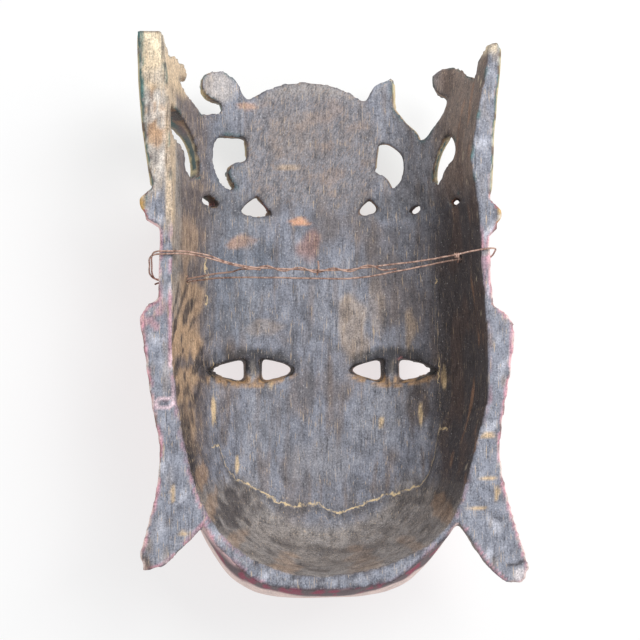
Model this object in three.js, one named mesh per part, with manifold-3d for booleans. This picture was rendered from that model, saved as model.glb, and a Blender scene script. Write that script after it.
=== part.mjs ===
// A Tibetan cham dance mask: one hollow wood carving with long ears and an openwork
// crown, lying face down, and the wire it is hung by, threaded through its two sides.
// Millimetres. +X across the face, +Y from chin to crown, +Z from the face to the hollow.
import * as THREE from 'three';
import { TessellateModifier } from 'three/addons/modifiers/TessellateModifier.js';
import { mergeVertices } from 'three/addons/utils/BufferGeometryUtils.js';
import Module from 'manifold-3d';

const wasm = await Module();
wasm.setup();

// ---------------------------------------------------------------- driving dimensions
const RIM = 106;            // height of the rim plane over the ground
const CHIN = -163;          // lowest point of the chin
const CROWN_END = 164;      // past the crown's tips, before they are trimmed
const HOLLOW_CHIN = -144;   // where the hollow reaches the rim under the chin
const FLOOR_DEPTH = 74;     // depth of the hollow below the rim
const WALL_TAPER = 16;      // how far each inner wall leans in from rim to floor
const FRONT = 19;           // height of the face's base surface over the ground
const CROWN_LINE = 62;      // where the face meets the crown
const TOP_LEAN = 0.09;      // how far the crown's top edge leans outwards, in radians
const GAP_LEAN = 0.4;       // the same for the gaps in its openwork
const BAND_SLANT = 0.03;    // the crown's band comes lower on the right side, by this slope
const EYE_LINE = -31;
const EYE_OFFSET = 42;      // from the midline to an eye's centre
const WIRE = 1.1;           // diameter of the hanging wire
const WIRE_HOLE = 5;

// The face leans a little: its midline runs from the chin to the crown like this.
const midline = y => -3.4 - 0.037 * (y + 30);

// ---------------------------------------------------------------- outlines, as [y, x]
const OUTER_LEFT = [[-163, -10], [-162, -30], [-160.5, -38], [-156, -51], [-147, -62], [-135, -70],
  [-118, -78], [-95, -85], [-56, -95], [-10, -99], [20, -99], [45, -98], [75, -102.5], [95, -105],
  [120, -108], [145, -109.3], [170, -110.5]];
const OUTER_RIGHT = [[-163, -6], [-162, 17], [-160.5, 25], [-156, 40], [-147, 52], [-135, 62],
  [-118, 73], [-95, 82], [-56, 90], [-10, 91], [20, 89.5], [45, 88], [75, 89], [95, 90],
  [120, 91.7], [145, 94], [170, 94.5]];
const HOLLOW_LEFT = [[-144, -9], [-143.5, -17], [-142, -26], [-139, -34], [-135, -44], [-131, -51],
  [-125, -58], [-113, -69], [-98, -76], [-68, -84], [-42, -88.5], [-11, -91], [20, -90], [67, -90],
  [100, -91.7], [122, -92.3], [145, -94.5], [170, -97.5]];
const HOLLOW_RIGHT = [[-144, -5], [-143.5, 3], [-142, 13], [-139, 26], [-135, 37], [-131, 46], [-125, 56],
  [-113, 67], [-98, 72.5], [-68, 80.5], [-42, 87], [-11, 87], [20, 83.8], [67, 81.6], [87, 77], [122, 82],
  [145, 86.5], [170, 88]];
// How far the widest line of the side lies below the rim, and how far the side rises over it.
const WIDEST_DEPTH = [[-163, 45], [-115, 45], [-70, 22], [60, 20], [100, 12], [170, 12]];
const RISE = [[-163, 2], [-160, 25], [-156, 38], [-151.2, 45], [-150.4, 47.4], [-148, 51],
  [-143, 56.7], [-128, 69], [-115, 84], [-90, 110], [170, 110]];

// ---------------------------------------------------------------- small tools
const clamp01 = t => Math.min(1, Math.max(0, t));
const smooth = t => clamp01(t) ** 2 * (3 - 2 * clamp01(t));
const bump = (t, width) => Math.exp(-((t / width) ** 2));
const plateau = (t, half, edge) => smooth((half + edge - Math.abs(t)) / edge);

// The value at y of a line through [y, value] pairs, with monotone cubic stretches.
function along(points, y) {
  const last = points.length - 2;
  let i = 0;
  while (i < last && y > points[i + 1][0]) i += 1;
  const slope = k => (points[k + 1][1] - points[k][1]) / (points[k + 1][0] - points[k][0]);
  const tangent = k => {
    if (k === 0 || k === points.length - 1) return slope(Math.min(k, last));
    const [a, b] = [slope(k - 1), slope(k)];
    return a * b <= 0 ? 0 : (2 * a * b) / (a + b);
  };
  const span = points[i + 1][0] - points[i][0];
  const t = clamp01((y - points[i][0]) / span);
  const [m0, m1] = [tangent(i) * span, tangent(i + 1) * span];
  return (2 * t ** 3 - 3 * t ** 2 + 1) * points[i][1] + (t ** 3 - 2 * t ** 2 + t) * m0
    + (3 * t ** 2 - 2 * t ** 3) * points[i + 1][1] + (t ** 3 - t ** 2) * m1;
}

// Move every vertex of a closed three.js geometry, keeping it closed.
function reshape(geometry, place) {
  const moved = geometry.clone();
  const p = moved.attributes.position;
  for (let i = 0; i < p.count; i += 1) {
    const [x, y, z] = place(p.getX(i), p.getY(i), p.getZ(i));
    p.setXYZ(i, x, y, z);
  }
  return moved;
}

function solid(geometry) {
  const bare = geometry.clone();
  bare.deleteAttribute('normal');
  bare.deleteAttribute('uv');
  const merged = mergeVertices(bare, 1e-3);
  const index = merged.index.array;
  const triVerts = [];
  for (let i = 0; i < index.length; i += 3) {
    const [a, b, c] = [index[i], index[i + 1], index[i + 2]];
    if (a !== b && b !== c && c !== a) triVerts.push(a, b, c);
  }
  const vertProperties = new Float32Array(merged.attributes.position.array);
  return new wasm.Manifold(new wasm.Mesh({ numProp: 3, vertProperties, triVerts: new Uint32Array(triVerts) }));
}

function toGeometry(manifold) {
  const { vertProperties, triVerts } = manifold.getMesh();
  const geometry = new THREE.BufferGeometry();
  geometry.setAttribute('position', new THREE.BufferAttribute(new Float32Array(vertProperties), 3));
  geometry.setIndex(new THREE.BufferAttribute(new Uint32Array(triVerts), 1));
  return geometry;
}

const blend = (a, b, t) => a + (b - a) * t;

// ---------------------------------------------------------------- the face in relief
// How far the front stands out over its base surface, in mm, at (x, y).
function relief(x, y) {
  const u = x - midline(y);
  const nose = () => {
    const t = clamp01((y + 92) / 82);
    const tip = bump(y + 80, 13);
    const height = 19 * clamp01(1.15 - t) * smooth((y + 95) / 9) * smooth((-6 - y) / 20);
    return height * bump(u, 8 + 4 * tip) + 6 * bump(Math.abs(u) - 13, 6) * bump(y + 83, 7);
  };
  const brows = 4.5 * bump(y + 13 - 6 * Math.cos(Math.abs(u) / 28), 6) * plateau(Math.abs(u) - 40, 26, 9);
  const sockets = -4 * bump(y - EYE_LINE, 15) * bump(Math.abs(u) - EYE_OFFSET + 8, 24);
  const eyeballs = 5 * bump(y - EYE_LINE, 11) * bump(Math.abs(u) - EYE_OFFSET, 21);
  const cheeks = 5 * bump(y + 86, 26) * bump(Math.abs(u) - 46, 22);
  const lips = plateau(u, 17, 12) * (6.5 * bump(y + 108, 5) + 7 * bump(y + 118, 5.5));
  const muzzle = 4 * bump(y + 111, 22) * bump(u, 30);
  const chin = 7 * bump(y + 148, 14) * bump(u, 26);
  const mark = 4 * plateau(Math.hypot(u, y - 14), 5, 3);
  const band = 9 * plateau(y - CROWN_LINE, 6, 4);
  const panel = 3 * plateau(Math.hypot(u * 1.05, y - 108), 27, 5);
  return nose() + brows + sockets + eyeballs + cheeks + lips + muzzle + chin + mark + band + panel;
}

// ---------------------------------------------------------------- the outer body
// A cylinder along Y whose rings become the sections of the mask, from chin to crown.
const AROUND = 50;
const STATIONS = [-163, -162.4, -160.8, -158, -154, -151.2, -150.2, -147.5, -143, -137, -130, -122, -116, -110,
  -104, -96, -89, -83, -76, -68, -59, -50, -42, -36, -31, -25, -18, -8, 4, 18, 32, 45, 51.5, 56, 68, 72.5, 84, 101,
  120, 140, CROWN_END];

function ringDirection(fraction) {
  // fraction runs once round from the middle of the front; most steps lie on the front
  const side = Math.abs(fraction * 2 - 1);
  const fromFront = 1 - side;
  const turn = fromFront < 0.66 ? (fromFront / 0.66) * 50
    : fromFront < 0.84 ? 50 + ((fromFront - 0.66) / 0.18) * 55 : 105 + ((fromFront - 0.84) / 0.16) * 75;
  const sign = fraction < 0.5 ? -1 : 1;
  return { across: sign * Math.sin(turn * Math.PI / 180), up: -Math.cos(turn * Math.PI / 180) };
}

function outerPoint(fraction, y, inset) {
  const { across, up } = ringDirection(fraction);
  const power = blend(2.7, 2.3, smooth((y - 50) / 50));
  const reach = inset / (Math.abs(across) ** power + Math.abs(up) ** power) ** (1 / power);
  const [left, right] = [along(OUTER_LEFT, y), along(OUTER_RIGHT, y)];
  const widest = RIM - along(WIDEST_DEPTH, y);
  const rise = along(RISE, y);
  const end = clamp01(1 - ((Math.max(0, -118 - y)) / (-118 - CHIN)) ** 2.6) ** (1 / 2.6);
  const drop = (widest - FRONT) * Math.max(end, 0.02);
  const x = blend(left, right, 0.5) + 0.5 * (right - left) * across * reach;
  const z = widest + (up > 0 ? rise : drop) * up * reach;
  const forward = smooth((widest - z) / 30) * inset;
  const band = y > CROWN_LINE - 12 && y < CROWN_LINE + 12 ? smooth((z - FRONT - 20) / 30) : 0;
  const outward = (across < 0 ? 7 : 4.5) * plateau(y - CROWN_LINE, 6, 4) * band * Math.sign(across);
  const slant = -BAND_SLANT * (x + 6) * plateau(y - CROWN_LINE, 12, 18);
  return [x + outward, y + slant - 2 * plateau(y - CROWN_LINE, 12, 18), z - relief(x, y) * forward];
}

const body = reshape(new THREE.CylinderGeometry(1, 1, 1, AROUND, STATIONS.length - 1), (x, t, z) => {
  const station = STATIONS[Math.round((t + 0.5) * (STATIONS.length - 1))];
  const fraction = (Math.atan2(x, z) / (2 * Math.PI) + 1) % 1;
  return outerPoint(Math.round(fraction * AROUND) % AROUND / AROUND, station, Math.hypot(x, z) > 0.5 ? 1 : 0);
});

// ---------------------------------------------------------------- the hollow
// Depth of the hollow's floor along the mask, and its rounded, leaning walls.
const floorDepth = y => FLOOR_DEPTH * clamp01(1 - (Math.max(0, -66 - y) / (-66 - HOLLOW_CHIN)) ** 4) ** 0.25;

function hollowPoint(p, q, y) {
  const [left, right] = [along(HOLLOW_LEFT, y), along(HOLLOW_RIGHT, y)];
  const depth = floorDepth(y);
  const half = 0.5 * (right - left) - Math.min(WALL_TAPER, 0.25 * (right - left)) * q * (depth / FLOOR_DEPTH);
  return [blend(left, right, 0.5) + p * half, y, RIM - depth * q];
}
const HOLLOW_POWER = 4.6;

const HOLLOW_AROUND = 28;
const HOLLOW_STATIONS = [HOLLOW_CHIN, -143.7, -142.8, -141, -138, -133.5, -127, -119, -110, -100, -86, -68, -45,
  -20, 5, 30, 55, 75, 90, 105, 120, 135, 150, CROWN_END + 6];
const hollow = reshape(
  new THREE.CylinderGeometry(1, 1, 1, HOLLOW_AROUND, HOLLOW_STATIONS.length - 1),
  (x, t, z) => {
    const y = HOLLOW_STATIONS[Math.round((t + 0.5) * (HOLLOW_STATIONS.length - 1))];
    if (Math.hypot(x, z) < 0.5) return [...hollowPoint(0, 0.3, y)];
    const [across, up] = [-x, -z];
    const reach = 1 / (Math.abs(across) ** HOLLOW_POWER + Math.abs(up) ** HOLLOW_POWER) ** (1 / HOLLOW_POWER);
    if (up >= 0) {
      const [px, , pz] = hollowPoint(across * reach, 0, y);
      return [px, y, pz + 8 * up * reach];
    }
    return hollowPoint(across * reach, -up * reach, y);
  },
);

// ---------------------------------------------------------------- cutters that follow the wall
// The lean of a cut where the wall has this steepness: straight down through the floor, leaning
// out by up to `lean` at the corner, and square to the wall near the rim.
const STEEP = 1.2;
const HALF_TURN = Math.PI / 2;

function followWall(steepness, lean) {
  const gentle = Math.min(0.5 * Math.abs(steepness), lean);
  const square = smooth((Math.abs(steepness) - STEEP) / (HALF_TURN - STEEP));
  return Math.sign(steepness) * blend(gentle, HALF_TURN, square);
}

// A point of the hollow's surface over plan position (x, y), with the direction of the cut there.
function wallFrame(x, y, leanAt) {
  const surface = px => {
    const [left, right] = [along(HOLLOW_LEFT, y), along(HOLLOW_RIGHT, y)];
    const centre = blend(left, right, 0.5);
    let q = 0.5;
    let [low, high] = [0, 1];
    for (let i = 0; i < 24; i += 1) {
      q = 0.5 * (low + high);
      const p = (1 - q ** HOLLOW_POWER) ** (1 / HOLLOW_POWER);
      if (Math.abs(hollowPoint(p, q, y)[0] - centre) > Math.abs(px - centre)) low = q;
      else high = q;
    }
    return RIM - floorDepth(y) * q;
  };
  const step = 0.5;
  const [left, right] = [along(HOLLOW_LEFT, y) + 1.2, along(HOLLOW_RIGHT, y) - 1.2];
  const px = Math.min(right, Math.max(left, x));
  const steepness = Math.atan((surface(px + step) - surface(px - step)) / (2 * step));
  const cut = leanAt(steepness);
  const overRim = Math.abs(x - px);
  return { x: px, z: surface(px) + 2 * overRim, nx: Math.sin(cut), nz: -Math.cos(cut) };
}

// Extrude a plan outline through the wall, along the cut, from `near` inside to `far` outside.
function throughWall(outline, near, far, leanAt) {
  const flat = new THREE.ShapeGeometry(outline, 10);
  const fine = mergeVertices(new TessellateModifier(12, 40).modify(flat.toNonIndexed()), 1e-4);
  const bare = fine.clone();
  bare.deleteAttribute('normal');
  bare.deleteAttribute('uv');
  const sheet = mergeVertices(bare, 1e-3);
  const p = sheet.attributes.position;
  const index = [...sheet.index.array];
  const count = p.count;
  const position = [];
  for (const reach of [near, far]) {
    for (let i = 0; i < count; i += 1) {
      const y = p.getY(i);
      const { x, z, nx, nz } = wallFrame(p.getX(i), y, leanAt);
      position.push(x + nx * reach, y, z + nz * reach);
    }
  }
  const edges = new Map();
  const faces = [];
  for (let i = 0; i < index.length; i += 3) {
    const tri = [index[i], index[i + 1], index[i + 2]];
    faces.push(...tri, tri[2] + count, tri[1] + count, tri[0] + count);
    for (let k = 0; k < 3; k += 1) {
      const [a, b] = [tri[k], tri[(k + 1) % 3]];
      if (edges.has(`${b},${a}`)) edges.delete(`${b},${a}`);
      else edges.set(`${a},${b}`, [a, b]);
    }
  }
  for (const [a, b] of edges.values()) faces.push(b, a, a + count, b, a + count, b + count);
  const geometry = new THREE.BufferGeometry();
  geometry.setAttribute('position', new THREE.BufferAttribute(new Float32Array(position), 3));
  geometry.setIndex(faces);
  return solid(geometry);
}

// A smooth closed outline through a row of points.
function outlineOf(points, steps) {
  const places = points.map(([x, y]) => new THREE.Vector3(x, y, 0));
  const curve = new THREE.CatmullRomCurve3(places, true, 'centripetal');
  return new THREE.Shape(curve.getSpacedPoints(steps).slice(0, -1).map(v => new THREE.Vector2(v.x, v.y)));
}

// ---------------------------------------------------------------- the crown's openwork
const CROWN_TOP = [[-96, 156], [-93, 149], [-90.5, 150.6], [-86, 149.5], [-84, 145.5],
  [-85.8, 140.5], [-88.5, 138.5], [-86, 134.9], [-82.5, 130], [-79.2, 125.5], [-76.5, 121.8], [-71.5, 123.4],
  [-66, 124.2], [-64.4, 127.5], [-65.5, 131.2], [-70.5, 132], [-74.8, 135.4], [-76.8, 141], [-75, 146.4],
  [-69.5, 149.8], [-63.5, 150.3], [-58, 147.1], [-53.6, 141.4], [-49.6, 133], [-44, 136.5], [-36, 140.5],
  [-26, 144.2], [-16, 145.2], [-6, 144.8], [4, 142.8], [13, 139], [20, 134.4], [24, 132.8], [25.7, 138],
  [29, 143], [38.6, 147.3], [39.6, 131], [42, 127.5], [46, 122], [53, 115], [56.5, 107], [60.5, 112],
  [66, 119.5], [70, 127], [71.3, 133], [66.5, 135.6], [63.2, 141], [63.4, 147], [68.5, 151.4], [74, 151.4],
  [78, 147], [80.4, 141.5], [81.5, 138.6], [82.6, 141], [83.6, 147.3], [86, 153.4], [94, 156.5], [94, 178],
  [-108, 178], [-108, 160.8], [-98, 160.8]];
const OPENINGS = {
  leftScroll: [[-66.5, 110.6], [-58, 111.2], [-50, 110.8], [-49.2, 103.8], [-49.4, 96.5], [-54.9, 95.8],
    [-59.3, 93], [-60.6, 88.5], [-58.5, 83.6], [-55, 80.6], [-58, 78], [-62, 79], [-66.4, 83], [-69.2, 89.5],
    [-70.4, 98], [-69.6, 105.5]],
  leftNotch: [[-78, 69.5], [-75, 73.8], [-71.3, 74.7], [-68, 71.6], [-64.5, 67], [-70.7, 67.6]],
  leftLeaf: [[-54.9, 65.3], [-49, 71.2], [-43.4, 76], [-39, 70.6], [-32.5, 63.2], [-44, 62.6]],
  leftSide: [[-91.5, 120.5], [-88.4, 119.4], [-84.6, 114.4], [-81.2, 107.9], [-78.6, 100], [-77.2, 91.4],
    [-77.6, 83.6], [-82.5, 83.4], [-85, 88], [-84.8, 94], [-86.4, 99.3], [-89.4, 102.6], [-91.2, 104.5]],
  rightScroll: [[31.5, 108], [37, 106.9], [41.8, 103.7], [45, 99.5], [45.8, 94.6], [45, 87], [42.4, 82.2],
    [38.6, 79.2], [38.2, 83.6], [34.2, 88], [29.4, 90.4], [29.6, 96], [30.6, 102]],
  rightLeaf: [[16.9, 63.2], [21, 68.8], [25.9, 75], [28.9, 70], [33, 67], [25, 64.4]],
  rightNotch: [[46.8, 63.4], [50.1, 67.2], [54.4, 69.8], [58.6, 67], [53.3, 64.4]],
  rightNick: [[67.5, 65.4], [70.8, 68.4], [74, 73.4], [76.6, 69.2], [72.8, 66.4]],
  rightSide: [[71.5, 107.8], [72.2, 101], [71.6, 94.4], [69.6, 91.6], [67.4, 87.6], [66.2, 82.3], [63.6, 79.6],
    [62.2, 83], [62.2, 90], [64.2, 99], [67.2, 106.4], [70, 111]],
};
const STRAIGHT_SIDED = ['leftNotch', 'leftLeaf', 'rightLeaf', 'rightNotch', 'rightNick'];
const ONE_SLOPE = { rightNick: 0.12, rightSide: 0.26 };   // gaps cut along one lean, in radians

// ---------------------------------------------------------------- ears
const LEFT_EAR = [[-84, 10], [-104, 9], [-108, 5.6], [-107.4, -8], [-104.5, -28], [-100.2, -55], [-97.4, -70],
  [-97.8, -83], [-100.4, -100], [-105.6, -121], [-108.8, -135.5], [-106.5, -139.8], [-98.5, -139],
  [-89, -131.5], [-79, -121], [-71, -112], [-62, -92]];
const RIGHT_EAR = [[76, 8], [95, 5.2], [101, 0.6], [101.6, -8], [99.4, -31], [96, -52], [94, -68], [94.2, -82],
  [97, -96.5], [102.6, -115], [107.4, -130], [110, -141], [108, -148.2], [101, -148.8], [93, -145.4],
  [84.6, -135.8], [76.5, -122.5], [69, -112], [58, -92]];
const EAR_THICKNESS = 23;

function ear(points) {
  const geometry = new THREE.ExtrudeGeometry(outlineOf(points, 34), {
    depth: EAR_THICKNESS - 5, bevelEnabled: true, bevelThickness: 6, bevelSize: 5, bevelOffset: -5,
    bevelSegments: 1,
  });
  geometry.translate(0, 0, RIM - EAR_THICKNESS + 6);
  return solid(geometry);
}

// ---------------------------------------------------------------- eyes
// A slit right through the wall, wide inside and narrow outside, with a ridge left standing
// across it behind the iris.
function eyeCut(side) {
  const x = midline(EYE_LINE) + side * EYE_OFFSET;
  const inner = RIM - FLOOR_DEPTH + 3;
  const overCorner = inner + 19;
  const slit = reshape(new THREE.CylinderGeometry(1, 1, 1, 20, 1).rotateX(Math.PI / 2), (px, py, pz) => {
    const depth = pz + 0.5;
    const lid = 0.35 + 0.65 * Math.sqrt(Math.max(0, 1 - Math.abs(px)));
    const [wide, high] = [blend(21, 30, depth), blend(4.4, 11, depth)];
    return [x + px * wide, EYE_LINE + py * lid * high, blend(-2, overCorner, depth)];
  });
  const ridge = new THREE.CylinderGeometry(3.8, 9.5, inner + 4, 14, 1).rotateX(Math.PI / 2);
  ridge.scale(1, 2.5, 1);
  ridge.translate(x + side * 0.6, EYE_LINE, inner / 2);
  return solid(slit).subtract(solid(ridge));
}

function wireHole(x, y, z) {
  const drill = new THREE.CylinderGeometry(WIRE_HOLE / 2, WIRE_HOLE / 2, 44, 12, 1).rotateZ(Math.PI / 2);
  drill.translate(x, y, z);
  return solid(drill);
}

// ---------------------------------------------------------------- crown ornaments on the front
function rosette(x, y, radius, base) {
  const profile = [[0, base], [radius, base], [radius, 9], [radius - 3, 5.5], [radius - 4.5, 4.5],
    [radius - 5, 1.2], [radius - 6.5, 0], [0, 0]].map(([r, z]) => new THREE.Vector2(r, z));
  const geometry = new THREE.LatheGeometry(profile.reverse(), 24).rotateX(Math.PI / 2);
  geometry.translate(x, y, 0);
  return solid(geometry);
}

// ---------------------------------------------------------------- the mask
function carve() {
  let mask = solid(body);
  mask = mask.add(ear(LEFT_EAR)).add(ear(RIGHT_EAR));
  for (const side of [-1, 1]) mask = mask.add(rosette(midline(CROWN_LINE) + side * 45, CROWN_LINE - 9, 9.5, 24));
  mask = mask.add(rosette(midline(CROWN_LINE), CROWN_LINE, 13, 24));
  mask = mask.subtract(solid(hollow));
  const sky = new THREE.Shape(CROWN_TOP.map(([x, y]) => new THREE.Vector2(x, y)));
  mask = mask.subtract(throughWall(sky, -6, 40, steepness => followWall(steepness, TOP_LEAN)));
  for (const [name, points] of Object.entries(OPENINGS)) {
    const outline = STRAIGHT_SIDED.includes(name)
      ? new THREE.Shape(points.map(([x, y]) => new THREE.Vector2(x, y)))
      : outlineOf(points, Math.round(points.length * 1.6));
    mask = mask.subtract(name in ONE_SLOPE
      ? throughWall(outline, -5, 60, () => ONE_SLOPE[name])
      : throughWall(outline, -5, 34, steepness => followWall(steepness, GAP_LEAN)));
  }
  for (const side of [-1, 1]) mask = mask.subtract(eyeCut(side));
  mask = mask.subtract(wireHole(-92, 22.2, RIM - 30.2)).subtract(wireHole(84, 35.5, RIM - 35));
  const above = new THREE.BoxGeometry(400, 500, 200);
  above.translate(0, 0, RIM + 100);
  const below = new THREE.BoxGeometry(400, 500, 40);
  below.translate(0, 0, -20);
  return mask.subtract(solid(above)).subtract(solid(below));
}

const carving = new THREE.Mesh(
  toGeometry(carve()),
  new THREE.MeshStandardMaterial({ color: 0x4a3f38, roughness: 0.85, metalness: 0 }),
);
carving.name = 'mask_carving';

// ---------------------------------------------------------------- the hanging wire
// One length of thin wire: from its loose end it goes through the left hole, over the left
// rim, across and over the right rim, in through the right hole and back to the left hole.
const WIRE_ROUTE = [[36, 29, 97], [24, 27.6, 94.8], [13, 25.8, 93], [4, 25.6, 92], [-7, 26, 92.4], [-19, 26.6, 93],
  [-30, 27.6, 93.6], [-39, 28.2, 93], [-50, 27.8, 90.4], [-66, 26.4, 84.6], [-82, 23.8, 77], [-92, 22.6, 76.6],
  [-100, 22.7, 76.2], [-103, 25, 80], [-102.8, 31, 94], [-101.6, 36, 105], [-98.4, 38, 108.1],
  [-88, 38.2, 107.2], [-80, 37.8, 105.6], [-70, 35.8, 102.6], [-60, 32.4, 99.8], [-48, 30, 97.2], [-37, 29.2, 95.8],
  [-24, 28.6, 95], [-8, 28, 94.6], [8, 28.4, 94.8], [20, 29.6, 96.6], [30, 31, 99], [48, 33, 101.6], [66, 36, 104.6],
  [77, 38.4, 106.4], [86, 40, 107.7], [90.6, 40, 106.6], [92, 38.6, 97], [92.2, 36.8, 84], [91.4, 35.7, 72.8],
  [84, 35.4, 71], [74, 35.2, 71], [64, 33.4, 74], [50, 30.4, 79.4], [37, 27.8, 84], [25, 25.4, 87.4],
  [13, 23.8, 89.4], [4, 23.4, 90], [-13, 23.6, 90.4], [-34, 24, 89.6], [-51, 24.2, 87], [-66, 23.8, 82.4],
  [-79, 22.6, 75], [-90, 21.6, 74.8], [-99, 21.4, 74.8], [-102.4, 20.4, 74.6]];
const WIRE_STEPS = 64;
const circle = new THREE.Shape(Array.from({ length: 8 }, (_, i) => new THREE.Vector2(
  0.5 * WIRE * Math.cos(i * Math.PI / 4),
  0.5 * WIRE * Math.sin(i * Math.PI / 4),
)));
const wirePoints = WIRE_ROUTE.map(p => new THREE.Vector3(...p));
const wireCurve = new THREE.CatmullRomCurve3(wirePoints, false, 'centripetal');
const wire = new THREE.Mesh(
  new THREE.ExtrudeGeometry(circle, { steps: WIRE_STEPS, extrudePath: wireCurve, bevelEnabled: false }),
  new THREE.MeshStandardMaterial({ color: 0x7a4a34, roughness: 0.5, metalness: 0.8 }),
);
wire.name = 'hanging_wire';

const mask = new THREE.Group();
mask.add(carving, wire);

// The origin is under the middle of the carving's box, on the ground.
const box = new THREE.Box3().setFromObject(carving);
mask.position.set(-(box.min.x + box.max.x) / 2, -(box.min.y + box.max.y) / 2, -box.min.z);

export default mask;
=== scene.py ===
"""A Tibetan cham dance mask lying face down: one hollow wood carving with long ears and an
openwork crown, seen from its carved-out side, and the thin wire it is hung by."""
import math

import bmesh
import bpy
import numpy as np
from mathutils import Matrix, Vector, kdtree, noise


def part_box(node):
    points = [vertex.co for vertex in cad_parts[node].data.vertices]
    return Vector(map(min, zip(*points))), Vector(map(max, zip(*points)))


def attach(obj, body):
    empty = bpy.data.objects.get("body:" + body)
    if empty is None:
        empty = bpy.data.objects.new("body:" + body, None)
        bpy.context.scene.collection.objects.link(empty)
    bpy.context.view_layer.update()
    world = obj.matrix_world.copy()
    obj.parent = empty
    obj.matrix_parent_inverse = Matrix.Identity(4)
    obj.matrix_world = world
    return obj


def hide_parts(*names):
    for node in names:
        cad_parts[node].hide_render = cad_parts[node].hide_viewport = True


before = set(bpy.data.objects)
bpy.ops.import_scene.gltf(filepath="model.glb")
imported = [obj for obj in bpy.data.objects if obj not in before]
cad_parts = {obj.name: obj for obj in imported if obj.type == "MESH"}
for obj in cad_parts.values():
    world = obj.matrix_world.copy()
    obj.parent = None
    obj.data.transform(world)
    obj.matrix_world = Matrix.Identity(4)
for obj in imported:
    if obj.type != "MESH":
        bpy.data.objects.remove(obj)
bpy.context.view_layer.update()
MM = 0.001

# ---------------------------------------------------------------- the view
# The mask is looked at from straight above the hollow, with the camera leaning very slightly to
# the left.
VIEW_LEAN = math.radians(2.5)
VIEW_DISTANCE = 0.8
VIEW_SPAN = 1428.6
PICTURE_WIDTH = 640
rim_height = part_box("mask_carving")[1][2]
camera = bpy.data.objects.new("camera", bpy.data.cameras.new("camera"))
bpy.context.scene.collection.objects.link(camera)
bpy.context.scene.camera = camera
camera.data.sensor_width = 36
camera.data.lens = camera.data.sensor_width * VIEW_SPAN / PICTURE_WIDTH
looked_at = Vector((-0.0079, 0.0009, rim_height))
camera.location = looked_at + VIEW_DISTANCE * Vector((-math.sin(VIEW_LEAN), 0, math.cos(VIEW_LEAN)))
camera.rotation_euler = (0, -VIEW_LEAN, 0)


# ---------------------------------------------------------------- the hanging wire
# A length of soft iron wire with a copper-brown rust, about as thick as a paper clip's. It goes
# through a hole in each side wall and over the rims, and its end is twisted round the strand
# that crosses the hollow.
WIRE_THICK = 1.0 * MM
WIRE_STEP = 1.2
WIRE_SHIFT = (0.03, 1.10, 0.0)
TWIST_REACH = 1.15
TWIST_PITCH = 19.0
TWIST_FROM, TWIST_TO = -44.0, 30.0
CROSSING_STEPS = 170
WOBBLE, WOBBLE_LENGTH, WOBBLE_SEED = 0.22, 9.0, 1
KNOT_X, KNOT_Y, KNOT_Z, KNOT_PITCH = 68.0, 36.2, 104.4, 0.16
WIRE_ROUTE = [
    (36, 29, 97), (24, 27.6, 94.8), (13, 25.8, 93), (4, 25.6, 92), (-7, 26, 92.4), (-19, 26.6, 93),
    (-30, 27.6, 93.6), (-39, 28.2, 93), (-50, 27.8, 90.4), (-66, 26.4, 84.6), (-82, 23.8, 77),
    (-92, 22.6, 76.6), (-100, 22.7, 76.2), (-103, 25, 80), (-102.8, 31, 94), (-101.6, 36, 105),
    (-98.4, 38, 108.1), (-88, 38.2, 107.2), (-80, 37.8, 105.6), (-70, 35.8, 102.6),
    (-60, 32.4, 99.8), (-48, 30, 97.2), (-37, 29.2, 95.8), (-24, 28.6, 95), (-8, 28, 94.6),
    (8, 28.4, 94.8), (20, 29.6, 96.6), (30, 31, 99), (48, 33, 101.6), (66, 36, 104.6),
    (77, 38.4, 106.4), (86, 40, 107.7), (90.6, 40, 106.6), (92, 38.6, 97), (92.2, 36.8, 84),
    (91.4, 35.7, 72.8), (84, 35.4, 71), (74, 35.2, 71), (64, 33.4, 74), (50, 30.4, 79.4),
    (37, 27.8, 84), (25, 25.4, 87.4), (13, 23.8, 89.4), (4, 23.4, 90), (-13, 23.6, 90.4),
    (-34, 24, 89.6), (-51, 24.2, 87), (-66, 23.8, 82.4), (-79, 22.6, 75), (-90, 21.6, 74.8),
    (-99, 21.4, 74.8), (-102.4, 20.4, 74.6),
]
# A second turn of the same wire beside the first, over the left rim.
LEFT_TURN = [
    (-83, 25.2, 77.8), (-92, 23.8, 77.8), (-101, 23.2, 77.4), (-104.4, 26, 83), (-104, 31, 95),
    (-102.8, 34.6, 105), (-99, 36.4, 107.9), (-88, 36.8, 107.1), (-78, 36.2, 105.2),
    (-68, 33.8, 102), (-58, 31.2, 99.2), (-48, 29.2, 96.6), (-41, 28.4, 95.4),
]


def thread(points, step):
    """A smooth line through the points, as points about `step` apart."""
    ends = [points[0]] + list(points) + [points[-1]]
    line = []
    for a, b, c, d in zip(ends, ends[1:], ends[2:], ends[3:]):
        a, b, c, d = (np.array(p, float) for p in (a, b, c, d))
        count = max(1, round(float(np.linalg.norm(c - b)) / step))
        for t in np.arange(count) / count:
            line.append(0.5 * (2 * b + (c - a) * t + (2 * a - 5 * b + 4 * c - d) * t ** 2
                               + (3 * b - a - 3 * c + d) * t ** 3))
    return np.array(line + [np.array(points[-1], float)])


def ease(value, low, high):
    """0 below low and 1 above high, with a smooth rise; low may be the larger."""
    t = np.clip((np.asarray(value, float) - low) / (high - low), 0, 1)
    return t * t * (3 - 2 * t)


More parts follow.
